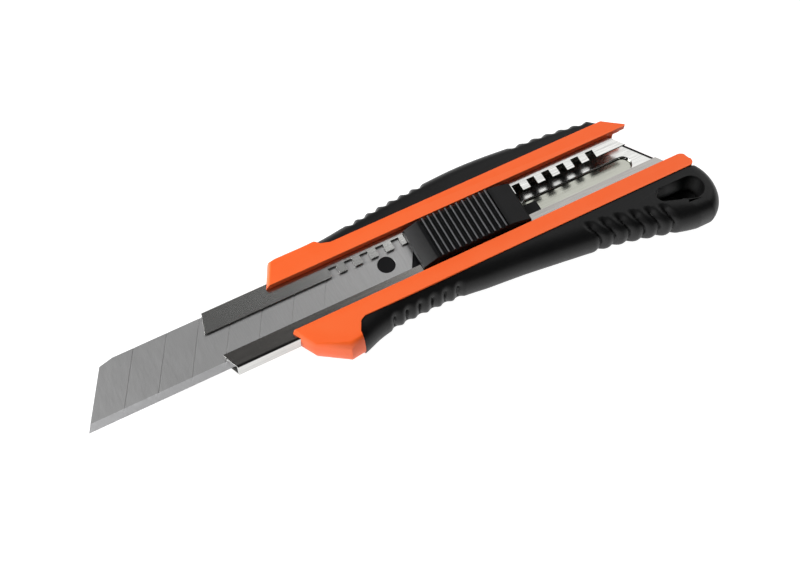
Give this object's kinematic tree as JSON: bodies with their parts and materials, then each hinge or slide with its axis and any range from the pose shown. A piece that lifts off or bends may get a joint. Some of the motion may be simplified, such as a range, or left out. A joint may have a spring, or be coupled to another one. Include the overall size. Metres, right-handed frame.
{
  "type": "utility knife",
  "caption": "Snap-off blade utility knife with a metal blade sleeve, locking thumb slide, two-tone handle with rubber grips and a hang hole.",
  "frame": {"origin": "on the flat back pad, on the blade's centre line, midway along the handle", "axes": "+X towards the blade's tip, +Y towards the blade's cutting edge, +Z out of the thumb button's side"},
  "size_m": [0.1932, 0.0488, 0.0146],
  "materials": {
    "orange_plastic": "satin moulded",
    "grip_rubber": "fine matt",
    "sleeve_steel": "rolled sheet",
    "rivet_steel": "plain",
    "blade_steel": "ground satin",
    "black_plastic": "fine texture",
    "spring_steel": "tempered"
  },
  "bodies": {
    "handle": {"handle_body": "orange_plastic", "upper_grip": "grip_rubber", "lower_grip": "grip_rubber", "back_pad": "grip_rubber", "blade_sleeve": "sleeve_steel", "sleeve_rivets": "rivet_steel"},
    "slide": {"blade_carrier": "black_plastic", "snap_off_blade": "blade_steel", "front_button_spring": "spring_steel", "rear_button_spring": "spring_steel"},
    "button": {"thumb_button": "black_plastic"},
    "lock": {"lock_spring": "spring_steel"}
  },
  "joints": [
    {"name": "blade_slide", "type": "slide", "parent": "handle", "child": "slide", "axis": [1, 0, 0], "range_m": [-0.045, 0.04]},
    {"name": "button_lift", "type": "slide", "parent": "slide", "child": "button", "axis": [0, 0, 1], "range_m": [0, 0.0011], "stiffness_N_per_m": 600, "springref_m": 0.0025, "deforming": ["front_button_spring", "rear_button_spring"]},
    {"name": "lock_tooth_lift", "type": "hinge", "parent": "slide", "child": "lock", "pos_m": [-0.0076, -0.0035, 0.00825], "axis": [0, -1, 0], "range_deg": [0, 4.6]}
  ],
  "couplings": [
    {"joint": "lock_tooth_lift", "follows": "button_lift", "rad_per_m": 71.429}
  ]
}
